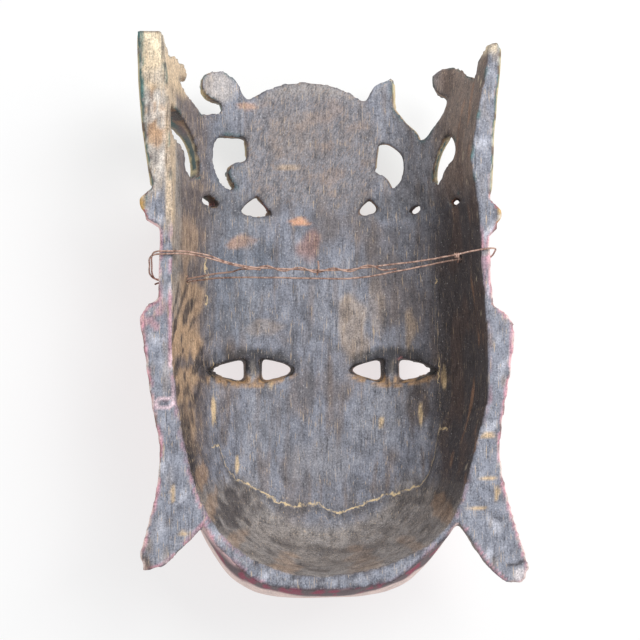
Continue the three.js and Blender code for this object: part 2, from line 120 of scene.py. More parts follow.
route = thread(WIRE_ROUTE, WIRE_STEP)
turn_back = int(np.argmin(route[: len(route) // 2, 0]))
crossing = route[turn_back: turn_back + CROSSING_STEPS]
crossing = crossing[np.argsort(crossing[:, 0])]
twisted = route[:turn_back]
held = ease(twisted[:, 0], TWIST_FROM - 14, TWIST_FROM) * ease(twisted[:, 0], TWIST_TO, TWIST_TO - 8)
held = held[:, None]
angle = 2 * math.pi * twisted[:, 0] / TWIST_PITCH
around = np.stack([
    twisted[:, 0],
    np.interp(twisted[:, 0], crossing[:, 0], crossing[:, 1]) + TWIST_REACH * np.cos(angle),
    np.interp(twisted[:, 0], crossing[:, 0], crossing[:, 2]) + TWIST_REACH * np.sin(angle),
], axis=1)
route[:turn_back] = twisted + (around - twisted) * held
# A scrap of wire is wound two and a half times round the upper strand near the right hole.
turns = np.linspace(0, 5 * math.pi, 40)
knot = np.stack([
    KNOT_X + KNOT_PITCH * turns,
    KNOT_Y + TWIST_REACH * np.sin(turns),
    KNOT_Z + TWIST_REACH * np.cos(turns),
], axis=1)
knot = np.vstack([knot, [(70.6, 34.2, 101.8), (70.4, 32.6, 99.4)]])
stub = np.array([(-9.0, 25.4, 94.0), (-8.4, 27.5, 95.4), (-8.2, 30.5, 96.2), (-8.6, 33.2, 96.0)])

wire_curve = bpy.data.curves.new("hanging_wire_rust", "CURVE")
wire_curve.dimensions = "3D"
wire_curve.bevel_depth = WIRE_THICK / 2
wire_curve.bevel_resolution = 2
wire_curve.use_fill_caps = True
noise.seed_set(WOBBLE_SEED)
for line in (route, thread(LEFT_TURN, WIRE_STEP), thread(stub, 0.8), knot):
    spline = wire_curve.splines.new("POLY")
    spline.points.add(len(line) - 1)
    wobble = np.array([noise.noise_vector(Vector(p) / WOBBLE_LENGTH) for p in line]) * WOBBLE
    for point, place in zip(spline.points, (line + wobble + WIRE_SHIFT) * MM):
        point.co = (*place, 1)
wire = bpy.data.objects.new("hanging_wire_rust", wire_curve)
bpy.context.scene.collection.objects.link(wire)


def node(tree, kind, inputs=None, **settings):
    """A new node with its settings, each input linked or set."""
    made = tree.nodes.new(kind)
    for name, value in settings.items():
        setattr(made, name, value)
    for name, value in (inputs or {}).items():
        if isinstance(value, bpy.types.NodeSocket):
            tree.links.new(value, made.inputs[name])
        else:
            made.inputs[name].default_value = value
    return made


def tint(red, green, blue):
    """A colour of a paint chart, 0 to 255, as the light it gives back."""
    light = [((c / 255 + 0.055) / 1.055) ** 2.4 if c > 10 else c / 3294 for c in (red, green, blue)]
    return (*light, 1.0)


def mix(tree, share, under, over, way="MIX"):
    """Two colours mixed; share is how much of `over` shows."""
    made = tree.nodes.new("ShaderNodeMix")
    made.data_type = "RGBA"
    made.blend_type = way
    for index, value in ((0, share), (6, under), (7, over)):
        if isinstance(value, bpy.types.NodeSocket):
            tree.links.new(value, made.inputs[index])
        else:
            made.inputs[index].default_value = value
    return made.outputs[2]


def band(tree, value, low, high, start=0.0, end=1.0):
    """A value stretched from low..high to start..end, and held there."""
    made = node(tree, "ShaderNodeMapRange", {"Value": value, "From Min": low, "From Max": high,
                                             "To Min": start, "To Max": end})
    return made.outputs[0]


def lumps(tree, place, scale, detail=3.0, rough=0.55):
    """Noise on the piece's own coordinates; scale is lumps to the metre in x, y and z."""
    moved = node(tree, "ShaderNodeMapping", {"Vector": place, "Scale": scale})
    made = node(tree, "ShaderNodeTexNoise", {"Vector": moved.outputs[0], "Scale": 1.0, "Detail": detail,
                                             "Roughness": rough})
    return made.outputs["Fac"]


RUST_BRIGHT, RUST_DARK, RUST_BARE = tint(192, 158, 142), tint(128, 96, 84), tint(222, 200, 188)
rust = bpy.data.materials.new("rusted_wire")
rust.use_nodes = True
tree = rust.node_tree
surface = tree.nodes["Principled BSDF"]
place = node(tree, "ShaderNodeTexCoord").outputs["Object"]
rust_spots = lumps(tree, place, (420, 420, 420))
rust_colour = mix(tree, band(tree, rust_spots, 0.42, 0.62), RUST_BRIGHT, RUST_DARK)
rust_colour = mix(tree, band(tree, lumps(tree, place, (900, 900, 900)), 0.6, 0.7), rust_colour, RUST_BARE)
tree.links.new(rust_colour, surface.inputs["Base Color"])
tree.links.new(band(tree, rust_spots, 0.3, 0.7, 0.42, 0.7), surface.inputs["Roughness"])
surface.inputs["Metallic"].default_value = 0.15
rust_bump = node(tree, "ShaderNodeBump", {"Height": lumps(tree, place, (1500, 1500, 1500)),
                                          "Strength": 0.35, "Distance": 0.0002})
tree.links.new(rust_bump.outputs[0], surface.inputs["Normal"])
wire_curve.materials.append(rust)
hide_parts("hanging_wire")
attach(wire, "root")

# ---------------------------------------------------------------- the carving: its shape
# One block of light wood, hollowed with a gouge and worn smooth, with the crown sawn and cut
# through. The front is carved in relief and painted; the hollow is bare and dark with handling.
WOOD_GRID = 1.68 * MM
EDGE_STEP = 1.0
EDGE_HOLD = 0.8
LIGHT_SHARE = 0.9
SHARP = math.radians(38)
# The face's midline leans a little; the nose, whose edges are left soft, lies in a box round it.
MIDLINE, FACE_TURN, TURN_Y = -3.4, 0.037, -28.9
NOSE_HALF, NOSE_LOW, NOSE_HIGH, NOSE_TOP = 19, -100, -14, 24
BROW_Y, EYE_Y, NOSTRIL_Y, MOUTH_Y = -12.0, -29.9, -86.0, -111.9
CROWN_Y, DISC_Y, MARK_Y = 63.1, 109.1, 15.1
EYE_OFF, NOSTRIL_OFF = 42.0, 6.0
# A distance past which no worn line is drawn.
FAR = 30

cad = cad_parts["mask_carving"]
form = bmesh.new()
form.from_mesh(cad.data)
bmesh.ops.remove_doubles(form, verts=form.verts, dist=1e-6)
sharp_points = []
for edge in form.edges:
    if len(edge.link_faces) == 2 and edge.calc_face_angle() > SHARP:
        a, b = (np.array(v.co) / MM for v in edge.verts)
        if abs(a[0] - MIDLINE) < NOSE_HALF and NOSE_LOW < a[1] < NOSE_HIGH and a[2] < NOSE_TOP:
            continue
        pieces = max(1, int(np.linalg.norm(b - a) / EDGE_STEP))
        sharp_points += [a + (b - a) * k / pieces for k in range(pieces + 1)]
wood_mesh = bpy.data.meshes.new("mask_carving_wood")
form.to_mesh(wood_mesh)
form.free()
carving = bpy.data.objects.new("mask_carving_wood", wood_mesh)
bpy.context.scene.collection.objects.link(carving)
grid = carving.modifiers.new("grid", "REMESH")
grid.mode = "VOXEL"
grid.voxel_size = WOOD_GRID
even = bpy.data.meshes.new_from_object(carving.evaluated_get(bpy.context.evaluated_depsgraph_get()))
carving.modifiers.clear()
carving.data = even
even.name = "mask_carving_wood"

count = len(even.vertices)
flat = np.empty(count * 3)
even.vertices.foreach_get("co", flat)
spot = flat.reshape(-1, 3) / MM
links = np.empty(len(even.edges) * 2, np.int32)
even.edges.foreach_get("vertices", links)
link_a, link_b = links.reshape(-1, 2).T
degree = np.bincount(link_a, minlength=count) + np.bincount(link_b, minlength=count)


def near_mean(values):
    """Each point's mean over its neighbours in the mesh."""
    total = np.stack([
        np.bincount(link_a, values[link_b, k], count) + np.bincount(link_b, values[link_a, k], count)
        for k in range(values.shape[1])], axis=1)
    return total / degree[:, None]


def rub_down(points, share, times):
    """Rub the surface smooth where share is above 0."""
    for _ in range(times):
        points = points + 0.5 * share[:, None] * (near_mean(points) - points)
    return points


def facing(points):
    """Each point's outward direction."""
    even.vertices.foreach_set("co", (points * MM).ravel())
    even.update()
    even.vertices.foreach_get("normal", flat)
    return flat.reshape(-1, 3).copy()


def nearest(cloud, points):
    """The nearest one of a cloud to each point, and how far it is."""
    tree_of = kdtree.KDTree(len(cloud))
    for i, place_of in enumerate(cloud):
        tree_of.insert(place_of, i)
    tree_of.balance()
    found = [tree_of.find(p) for p in points]
    return np.array([f[0] for f in found]), np.array([f[2] for f in found])


def mottle(points, size, seed):
    """Smooth lumps from -1 to 1, of about `size` mm along x, y and z."""
    shifted = points / np.asarray(size, float) + (seed * 7.3, seed * 3.1, seed * 5.7)
    return np.array([noise.noise(Vector(p)) for p in shifted])


def scoops(points, size, seed):
    """Gouge cuts: 0 in the middle of each shallow scoop and 1 at the ridge round it."""
    shifted = points / np.asarray(size, float) + (seed * 7.3, seed * 3.1, seed * 5.7)
    return np.clip(np.array([noise.voronoi(Vector(p))[0][0] for p in shifted]), 0, 1) ** 2


def inner_share(points, out):
    """1 where the surface faces the middle of the hollow, -1 where it faces away from it."""
    middle = np.stack([np.full(count, -4.0), np.maximum(points[:, 1], -78), np.full(count, 136.0)], axis=1)
    ray = points - middle
    return -(out * ray).sum(axis=1) / np.linalg.norm(ray, axis=1)


edge_spot, edge_gap = nearest(sharp_points, spot)
spot = np.where((edge_gap < EDGE_HOLD)[:, None], edge_spot, spot)
inner = inner_share(spot, facing(spot))
eye_reach = np.hypot((np.abs(spot[:, 0] - MIDLINE) - EYE_OFF) / 36, (spot[:, 1] - EYE_Y) / 18)
free = ease(edge_gap, 1.0, 8.0) * ease(eye_reach, 0.8, 1.2)
spot = rub_down(spot, free * ease(inner, 0.0, 0.3), 110)
spot = rub_down(spot, free * ease(inner, 0.2, -0.2), 18)
spot = rub_down(spot, ease(edge_gap, 0.3, 2.0), 3)

out = facing(spot)
inner = inner_share(spot, out)
x, y, z = spot.T
inside = ease(inner, 0.05, 0.4)
front = ease(inner, -0.05, -0.35)
at_rim = ease(z, 103.2, 105) * ease(out[:, 2], 0.6, 0.85)
cut_face = (1 - ease(np.abs(inner), 0.3, 0.55)) * ease(y, 60, 68) * (1 - at_rim)
u = x - (MIDLINE - FACE_TURN * (y - TURN_Y))
floor_part = inside * ease(out[:, 2], 0.75, 0.93)
chin_wall = inside * ease(y, -88, -104) * (1 - floor_part)
side_wall = inside * ease(np.abs(x + 4), 62, 76) * (1 - floor_part)

# Hand work: uneven walls, gouge cuts down the hollow, and the step left where the floor meets
# the chin.
move = 0.55 * mottle(spot, 38, 1) + 0.28 * mottle(spot, 13, 2)
long_cuts = scoops(spot, (6.5, 24, 9), 3)
chin_cuts = scoops(spot, (20, 6.0, 5.5), 4)
short_cuts = scoops(spot + np.stack([0.5 * y, 0 * y, 0 * y], axis=1), (4.0, 9.0, 9.0), 5)
move += inside * (0.34 * long_cuts * (1 - chin_wall) + 0.75 * chin_cuts * chin_wall)
move += 0.22 * short_cuts * inside * ease(y, 40, 60)
LEDGE = [
    (-66, -74), (-63, -84), (-59, -91), (-53.7, -95.6), (-40, -103), (-29, -110), (-17, -112),
    (-6, -111.5), (3, -115.5), (10.5, -115), (24.6, -110.3), (39, -104.7), (49, -101), (57, -95),
    (60, -88.5), (62, -82.5), (63.5, -76), (66, -64),
]
ledge_line = thread([(a, b, 0) for a, b in LEDGE], 2.0)[:, :2]
ledge_y = np.interp(x, ledge_line[:, 0], ledge_line[:, 1]) + 1.1 * mottle(spot, 9, 6)
below_ledge = (ledge_y - y) * inside * ease(np.abs(x), 74, 66)
move += 0.9 * inside * ease(below_ledge, 0.0, 2.4) * ease(below_ledge, 16, 5) * ease(np.abs(x), 70, 60)

# Chips and worn places along the edges, and cracks in the ends of the grain.
chips = ease(mottle(spot, 5.5, 7), 0.25, 0.6) * ease(edge_gap, 3.2, 0.6)
move -= (0.75 - 0.4 * ease(y, 60, 75)) * chips
move += 0.16 * mottle(spot, (1.8, 12, 1.8), 8) * (inside + 0.6 * at_rim)

# The relief of the front: eyelids, lips, nostrils and the wings of the nose, brows, beads on the
# band, petals, a border along the openwork and a groove inside the rim of each ear.
eye_u = np.abs(u) - EYE_OFF
eye_ring = np.hypot(eye_u / 25.0, (y - EYE_Y) / 10.0)
relief = 1.5 * np.exp(-((eye_ring - 1.02) / 0.13) ** 2)
relief -= 0.9 * np.exp(-((eye_ring - 1.42) / 0.1) ** 2) * (y > EYE_Y)
mouth = y - MOUTH_Y + 1.4 * np.cos(u / 5.5) * ease(np.abs(u), 18, 8)
upper_lip = 6.4 * np.clip(1 - (np.abs(u) / 27) ** 1.6, 0, 1) - 1.3 * np.exp(-(u / 3.6) ** 2)
lower_lip = 7.6 * np.clip(1 - (np.abs(u) / 22) ** 2, 0, 1)
lips = np.where(mouth > 0, mouth / np.maximum(upper_lip, 0.4), -mouth / np.maximum(lower_lip, 0.4))
relief += 1.9 * np.sqrt(np.clip(1 - (1.6 * lips - 0.6) ** 2, 0, 1)) * (np.abs(u) < 26)
relief -= 1.3 * np.exp(-(mouth / 1.1) ** 2) * ease(np.abs(u), 29, 24)
relief += 1.8 * np.exp(-((np.abs(u) - 11) / 3.4) ** 2 - ((y + 82) / 5.0) ** 2)
nostril_u, nostril_y = (np.abs(u) - NOSTRIL_OFF) / 2.6, (y - NOSTRIL_Y) / 2.0
relief -= 2.6 * np.exp(-nostril_u ** 2 - nostril_y ** 2)
brow_along = (np.abs(u) - 40) / 28
brow_half = 3.7 - 1.7 * brow_along
brow_line = (y - BROW_Y + 3 - 9.5 * np.cos(1.15 * brow_along)) / brow_half
brow = ease(np.abs(brow_line), 1.15, 0.75) * ease(brow_along, 1.1, 0.9) * ease(brow_along, -1.05, -0.85)
relief += brow * (0.7 + 0.35 * np.sin((np.abs(u) + 2.5 * brow_line) * 2.1))
band_y = y - CROWN_Y + 0.03 * x
bead = np.mod(u + 4.5, 9) - 4.5
relief += 2.0 * np.sqrt(np.clip(1 - (bead / 3.9) ** 2 - (band_y / 3.9) ** 2, 0, 1)) * (np.abs(u) > 16)
crown_face = ease(y, 70, 76)
relief += 1.0 * crown_face * ease(np.abs(edge_gap - 3.6), 1.7, 0.9)
disc_u, disc_y = u * 1.05, y - DISC_Y
disc_r = np.hypot(disc_u, disc_y)
petals = 16 + 6.5 * np.abs(np.cos(4 * np.arctan2(disc_y, disc_u))) ** 0.6
relief += 1.6 * ease(disc_r - petals, 0.8, -0.8) * ease(disc_r, 7.5, 8.8) + 1.9 * ease(disc_r, 7.0, 5.0)
relief -= 0.8 * np.exp(-((disc_r - petals + 1.6) / 0.8) ** 2)
ear_part = ease(np.abs(x + 3), 96, 99) * ease(y, 12, 6)
relief -= 1.1 * ear_part * np.exp(-((edge_gap - 5.2) / 1.3) ** 2)
mark_r = np.hypot(u, y - MARK_Y)
relief += 0.8 * np.exp(-((mark_r - 6.0) / 0.8) ** 2) - 0.8 * np.exp(-((mark_r - 8.0) / 0.7) ** 2)
move += relief * front

broken = cut_face * ease(np.hypot((x - 39.3) / 3.5, (y - 139.5) / 10.5), 1.1, 0.8) * ease(z, 34, 22)
spot[:, 0] += 2.6 * broken
lowest, highest = (np.array(c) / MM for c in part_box("mask_carving"))
spot = np.clip(spot + out * move[:, None], lowest, highest)
out = facing(spot)
even.shade_smooth()

# ---------------------------------------------------------------- the carving: its colour
# Outside, old distemper paint over a white ground. Inside, bare wood gone slate-grey and brown,
# with pale worn streaks along the grain, stains, and flecks of the ground and the paint.
x, y, z = spot.T
hollows = near_mean(near_mean(spot)) - spot
for _ in range(3):
    hollows = near_mean(hollows)
bend = (hollows * out).sum(axis=1)
cupped, proud = ease(bend, 0.02, 0.16), ease(bend, -0.02, -0.16)
cut_depth = np.zeros(count)
on_cut = np.flatnonzero(cut_face > 0.05)
cut_depth[on_cut] = nearest(spot[(inside > 0.6) & (y > 50)], spot[on_cut])[1]
steep = ease(out[:, 2], 0.8, 0.5)

colour = np.tile(np.array(tint(131, 135, 147)[:3]), (count, 1))
worn = np.full(count, 0.4)


def lay(shade, share):
    """Lay a colour over what is there; share is how well it covers, from 0 to 1."""
    global colour
    colour = colour + np.clip(share, 0, 1)[:, None] * (np.array(tint(*shade)[:3]) - colour)


def patch(at_x, at_y, wide, long, seed, rag=0.35):
    """A ragged patch round a place, as a share from 0 to 1."""
    reach = np.hypot((x - at_x) / wide, (y - at_y) / long)
    return ease(reach + rag * mottle(spot, (min(wide, 8), min(long, 14), 8), seed), 1.15, 0.6)


BROWN, DARK, TAN, SHADE_BLACK = (118, 104, 96), (58, 53, 56), (178, 154, 126), (34, 30, 31)
PINK, TEAL, CRIMSON = (214, 142, 146), (48, 104, 102), (150, 58, 84)

broad, fine_long = mottle(spot, (24, 60, 30), 11), mottle(spot, (3.5, 34, 6), 12)
blotch, small_blotch = mottle(spot, (9, 13, 9), 13), mottle(spot, (4.5, 6.5, 4.5), 40)
lay((150, 153, 163), 0.6 * ease(broad + 0.5 * blotch, 0.0, 0.5) * inside)
lay(BROWN, 0.55 * ease(-broad - 0.4 * blotch, 0.05, 0.45) * inside)
lay((98, 100, 108), 0.55 * ease(-blotch - 0.5 * small_blotch, 0.1, 0.5) * inside)
lay(BROWN, 0.5 * ease(fine_long, 0.1, 0.5) * inside)
lay((86, 86, 92), 0.5 * ease(-fine_long, 0.2, 0.5) * inside)

# The floor's warm streaks, hazy patches and stains, and the browner right half.
lay((96, 92, 94), 0.55 * inside * ease(x, 26, 52) * ease(y, -80, -40) * ease(y, 74, 50))
lay((108, 114, 124), 0.5 * inside * ease(x, -30, -52) * ease(y, -20, 0) * ease(y, 76, 60))
for at_x, at_y, wide, long, shade, share in (
        (16, -4, 10, 26, TAN, 0.45), (30, 8, 5, 20, TAN, 0.3), (50, -4, 3, 14, TAN, 0.45),
        (-11, 46, 8, 12, (156, 112, 96), 0.6),
        (-54, 48, 9, 4.5, (176, 138, 112), 0.6), (-17, 61, 7, 3.0, (206, 156, 126), 0.9),
        (-40, -4, 12, 5, TAN, 0.25), (30, 36, 14, 20, (92, 88, 90), 0.45),
        (-44, 34, 20, 14, (92, 102, 116), 0.45),
        (8, 62, 18, 16, (108, 100, 98), 0.35), (-4, -84, 28, 15, (148, 149, 156), 0.55),
        (30, -58, 18, 22, (140, 143, 152), 0.5), (-34, -62, 20, 18, (122, 126, 136), 0.4),
        (-48, 24, 4, 22, (150, 156, 168), 0.3), (54, -52, 7, 20, (84, 72, 66), 0.6)):
    lay(shade, share * patch(at_x, at_y, wide, long, at_x + at_y, 0.6) * inside)

# The crown from inside: browner on the disc, with short slanting tool marks, blue-black beside
# it, and rubbed pale along its top.
crown = inside * ease(y, 64, 78)
disc = crown * ease(np.hypot((x + 9) / 46, (y - 103) / 50), 1.0, 0.85)
lay((130, 127, 130), 0.6 * disc)
lay((150, 132, 122), 0.45 * disc * ease(mottle(spot, (12, 9, 12), 41), 0.1, 0.5))
lay((98, 104, 114), 0.6 * crown * patch(-64, 98, 14, 28, 42, 0.3) * (1 - disc))
lay((96, 98, 104), 0.55 * inside * ease(np.abs(y - 70), 12, 4) * ease(np.abs(x + 9), 20, 34))
# Painted shade: the right side of the crown's inside darkened.
lay((100, 96, 96), 0.5 * crown * ease(x, 34, 50))
lay((172, 168, 166), 0.5 * disc * ease(y, 132, 144))
for at_x, at_y, wide, long, shade, share in (
        (-49, 131, 7, 2.4, (196, 152, 120), 0.6), (-24, 94, 12, 1.3, (190, 164, 134), 0.6),
        (-66, 140, 10, 11, (196, 190, 186), 0.7), (73, 144, 9, 9, (168, 154, 150), 0.6),
        (-20, 112, 18, 20, (140, 128, 120), 0.35)):
    lay(shade, share * patch(at_x, at_y, wide, long, at_x + at_y, 0.4) * crown)

# The side walls: the left one worn to the pale wood in long barred patches, the right one
# darkened nearly to black with painted shade, and given a warm brown top.
left_wall, right_wall = side_wall * (x < 0), side_wall * (x > 0)
lay((112, 100, 96), 0.8 * left_wall)
for at_y, long, share in (
        (14, 15, 0.75), (-9, 12, 0.9), (-36, 13, 0.9), (-62, 17, 0.7), (-92, 12, 0.7), (46, 15, 0.45)):
    lay((192, 160, 128), share * left_wall * patch(-85, at_y, 9, long, at_y, 0.7))
tilted = np.stack([x, y + 0.9 * z, 0.35 * (z - 0.9 * y)], axis=1)
lay((150, 146, 142), 0.7 * left_wall * ease(z, 84, 96) * ease(y, -6, 14))
bars = ease(mottle(tilted, (11, 8, 9), 43) + 0.5 * small_blotch, 0.0, 0.3)
lay(DARK, 0.85 * left_wall * bars * ease(y, 30, 14) * ease(y, -56, -40))
lay(DARK, 0.85 * left_wall * ease(mottle(spot, (8, 12, 7), 14), -0.1, 0.3) * ease(y, -40, -60))
lay((48, 44, 47), 0.85 * left_wall * ease(z, 82, 96) * ease(y, -40, -58))
# Painted shade: the right wall and the inside next to it darkened nearly to black.
lay((76, 70, 70), 0.93 * right_wall * ease(y, 84, 66))
lay((70, 65, 66), 0.6 * inside * ease(x, 56, 70) * ease(y, 80, 50))
lay((130, 112, 100), 0.85 * right_wall * ease(y, 66, 84))
lay((160, 120, 92), 0.7 * right_wall * ease(mottle(spot, (7, 22, 5), 15), 0.3, 0.55) * ease(z, 60, 90))
lay((92, 74, 66), 0.5 * right_wall * ease(mottle(spot, (9, 30, 12), 44), 0.0, 0.4))
lay((222, 206, 176), 0.85 * right_wall * ease(mottle(spot, (5, 9, 3), 16), 0.55, 0.75) * ease(z, 84, 98))
worn += 0.5 * left_wall - 0.15 * right_wall

# The chin wall, the ledge over it and the dark places beside them.
lay((146, 139, 133), 0.8 * chin_wall)
lay((90, 84, 82), 0.6 * chin_wall * ease(mottle(spot, (14, 9, 9), 45), 0.05, 0.45))
dark_ends = np.clip(patch(-56, -110, 15, 9, 46, 0.9) + patch(66, -84, 12, 26, 47, 0.6), 0, 1)
lay(DARK, 0.7 * chin_wall * dark_ends)
for at_x, at_y, wide, long, share in (
        (-31, -141, 13, 5, 0.45), (-57, -124, 9, 4, 0.4), (64, -108, 5, 8, 0.5), (18, -138, 12, 4, 0.25),
        (-74, -88, 3.5, 7, 0.6), (-69, -104, 3.5, 8, 0.5), (48, -128, 9, 3, 0.3)):
    lay((168, 138, 112), share * inside * (1 - floor_part) * patch(at_x, at_y, wide, long, at_x, 0.6))
under_ledge = ease(below_ledge, 0.5, 2.0) * ease(below_ledge, 8, 2.5) * ease(np.abs(x), 72, 62)
lay((74, 70, 70), 0.6 * inside * under_ledge)
for at_x, at_y, long in (
        (-69, -52, 10), (-55, -86, 6), (56, -56, 7), (69, -34, 8), (33, -62, 5), (-35, -38, 4)):
    lay((222, 194, 150), 0.75 * inside * patch(at_x, at_y, 1.4, long, at_y, 0.4))

# The eye slits: black painted shade over their upper part and down their steep walls, and tan
# painted light along the lower edge.
lid_u, lid_y = eye_u / 30, (y - EYE_Y) / 12
by_eye = ease(np.hypot(lid_u, lid_y), 1.25, 0.85)
# Painted shade: black over the upper part of each slit and down its steep walls.
lay(SHADE_BLACK, 0.8 * inside * ease(np.hypot(eye_u / 27, (y - EYE_Y - 6) / 9) + 0.3 * small_blotch, 1.15, 0.6))
lay(SHADE_BLACK, 0.95 * by_eye * steep * (1 - front) * ease(z, 3, 8))
# Painted light: tan along the lower edge of each slit.
lit_lower_lid = by_eye * ease(y - EYE_Y, -2, -4) * (1 - front) * np.maximum(steep, ease(edge_gap, 3.4, 1.2))
lay((184, 146, 102), 0.85 * lit_lower_lid * ease(small_blotch, -0.35, 0.1))
lay((226, 150, 150), 0.8 * inside * patch(46, -27, 4, 6, 3, 0.9) * ease(mottle(spot, 3, 23), 0.0, 0.3))

# The rims and the backs of the ears: slate blue, mottled with white ground and brown, and a pale
# line along the left inner edge.
backs = at_rim
lay((138, 143, 156), 0.85 * backs)
mottled = ease(mottle(spot, (9, 14, 8), 24) + 0.6 * small_blotch, 0.05, 0.5)
lay((104, 106, 116), 0.75 * backs * mottled * ease(np.abs(x), 80, 94))
lay((200, 203, 214), 0.55 * backs * ease(mottle(spot, (6, 10, 6), 25) + 0.5 * small_blotch, 0.2, 0.6))
inner_edge = backs * ease(edge_gap, 4.5, 1.5) * ease(np.hypot(x / 96, (y + 20) / 146), 0.97, 0.9)
lay((62, 58, 64), 0.75 * inner_edge * ease(small_blotch + 0.6 * blotch, -0.1, 0.25) * ease(y, -20, -60))
browned = ease(mottle(spot, (5, 12, 5), 26), 0.25, 0.5)
lay((150, 134, 118), 0.45 * backs * browned * ease(np.abs(x + 4), 84, 92))
pink_place = ease(x, -92, -98) * ease(np.abs(y - 3), 16, 6) * ease(small_blotch, -0.1, 0.3)
lay((196, 150, 158), 0.6 * backs * pink_place)
pale_line = ease(edge_gap, 2.2, 1.0) * ease(x, -88, -90) * ease(x, -97, -94) * ease(y, 40, 20)
lay((224, 222, 226), 0.8 * backs * pale_line * ease(mottle(spot, (9, 9, 9), 27), -0.3, 0.2))
left_post = ease(x, -89, -92) * ease(y, 66, 84) * at_rim
lay((182, 172, 160), 0.8 * left_post)
post_tan = ease(mottle(spot, (4, 12, 6), 28) + 0.4 * small_blotch, 0.0, 0.35)
lay((178, 140, 104), 0.85 * left_post * post_tan * ease(y, 78, 108))
lay((230, 224, 214), 0.6 * left_post * ease(mottle(spot, (4, 6, 6), 48), 0.05, 0.3))
lay((222, 200, 166), 0.8 * left_post * ease(y + 10 * small_blotch, 122, 144))
post_edge = ease(np.abs(x + 91.5), 3.2, 1.6) * np.clip(at_rim + inside, 0, 1) * (x < 0)
lay((204, 182, 154), 0.85 * post_edge * ease(y, 44, 62))
post_top = np.clip(at_rim + inside + cut_face, 0, 1) * ease(y, 140, 154) * ease(x, -92, -96)
lay((238, 222, 192), 0.9 * post_top * ease(small_blotch, -0.6, 0.0))
lay((232, 214, 182), 0.85 * ease(y, 149, 154) * ease(x, 76, 82) * (1 - front))

# The cut faces of the openwork: brown inside, the green of the front beyond. The pale leaf by
# the left post and the broken leaf on the right show fresh wood.
lay((84, 72, 64), 0.9 * cut_face)
lay((168, 130, 96), 0.75 * cut_face * ease(mottle(spot, 7, 30), -0.1, 0.3))
lay(TEAL, 0.9 * cut_face * ease(cut_depth + 2.0 * mottle(spot, 6, 31), 7.2, 9.0))
pale_leaf = np.clip(inside + cut_face, 0, 1) * patch(-88, 144, 7, 16, 9, 0.2)
lay((212, 188, 156), 0.85 * pale_leaf * ease(cut_depth, 9, 5))
lay((242, 228, 194), 0.95 * patch(40, 140, 3.2, 11, 2, 0.2) * cut_face)
teal_edge = ease(edge_gap, 1.7, 0.7) * ease(mottle(spot, 9, 49), 0.05, 0.3)
lay(TEAL, 0.7 * crown * teal_edge * ease(np.abs(x + 9), 38, 52))

# Paint on the front: a rose face, dark brows and irises, red lips, and a green crown with a red
# band, picked out in cream.
GOLD, RED = (214, 176, 100), (152, 46, 44)
lay(PINK, 0.97 * front)
lay((190, 104, 110), 0.5 * front * ease(mottle(spot, 26, 32), 0.1, 0.5) * ease(z, 70, 40))
lay((240, 206, 206), 0.85 * front * ease(z, 34, 62) * ease(y, 66, 56))
lay((168, 58, 58), 0.9 * front * ease(lips, 1.08, 0.92) * ease(np.abs(u), 27, 25))
lay((84, 30, 34), 0.85 * front * ease(np.abs(mouth), 1.5, 0.7) * ease(np.abs(u), 28, 25))
lay((84, 30, 34), 0.8 * front * ease(np.hypot(nostril_u, nostril_y), 1.2, 0.6))
lay((44, 34, 32), 0.9 * front * brow)
lay((226, 214, 190), 0.9 * front * ease(eye_ring, 0.98, 0.9))
lay((34, 24, 22), 0.95 * front * ease(np.hypot(eye_u, y - EYE_Y), 8.5, 7.5))
lay((60, 34, 32), 0.9 * front * ease(np.abs(eye_ring - 1.0), 0.09, 0.05))
lay(RED, 0.9 * front * ease(np.abs(band_y), 9.5, 8))
lay(GOLD, 0.9 * front * ease(np.hypot(bead, band_y), 4.3, 3.6) * (np.abs(u) > 16))
lay(TEAL, 0.95 * front * ease(y, 71, 74))
lay((226, 206, 160), 0.9 * front * crown_face * ease(np.abs(edge_gap - 3.6), 1.9, 1.3))
lay(RED, 0.9 * front * ease(disc_r - petals, 0.4, -0.4) * ease(y, 71, 74))
lay(GOLD, 0.9 * front * ease(disc_r, 7.6, 6.6) * ease(y, 71, 74))
lay(GOLD, 0.9 * front * ease(mark_r, 7.2, 6.4))
outer_parts = np.clip(ease(y, 50, 60) + ease(np.abs(x), 80, 88), 0, 1)
ground_shows = ease(edge_gap, 1.6, 0.5) * ease(mottle(spot, 5, 33), 0.0, 0.35)
lay((228, 220, 206), 0.85 * front * ground_shows * outer_parts)
lay((104, 78, 62), 0.8 * front * ease(mottle(spot, 6, 34) + 0.4 * proud, 0.5, 0.7))
# The paint runs over the outer edges of the rim and the ears, in green, pink and crimson.
left_side = ease(x, -103.2 - 0.02 * (y - 60), -105.4 - 0.02 * (y - 60)) * ease(y, 62, 72)
lay(TEAL, 0.9 * left_side * ease(mottle(spot, 6, 35), -0.5, 0.0) * (1 - front))
outer_lip = ease(edge_gap, 2.4, 0.9) * ease(y, 60, 40) * ease(np.hypot(x / 96, (y + 20) / 146), 0.9, 0.98)
lay((216, 150, 164), 0.8 * backs * outer_lip * ease(mottle(spot, 7, 36), -0.35, 0.15))
chin_out = np.hypot((x + 6) / 66, (y + 96) / 48) + 0.025 * blotch
chin_rim = ease(z, 92, 97) * (1 - inside) * ease(y, -112, -122) * ease(chin_out, 1.27, 1.23)
lay((70, 62, 68), 0.9 * chin_rim * ease(chin_out, 1.09, 1.15))
lay(CRIMSON, 0.85 * chin_rim * ease(small_blotch + 0.5 * blotch, 0.0, 0.25) * ease(chin_out, 1.12, 1.17))
lay((236, 216, 206), 0.8 * front * ease(y, -96, -112) * ease(z, 50, 74) * (1 - chin_rim))
ring = np.hypot((x + 95) / 6.5, (y + 45) / 3.6)
lay((232, 206, 214), 0.85 * backs * ease(np.abs(ring - 0.8 + 0.3 * small_blotch), 0.3, 0.12))
lay((88, 70, 80), 0.7 * backs * ease(ring + 0.3 * small_blotch, 0.5, 0.3))
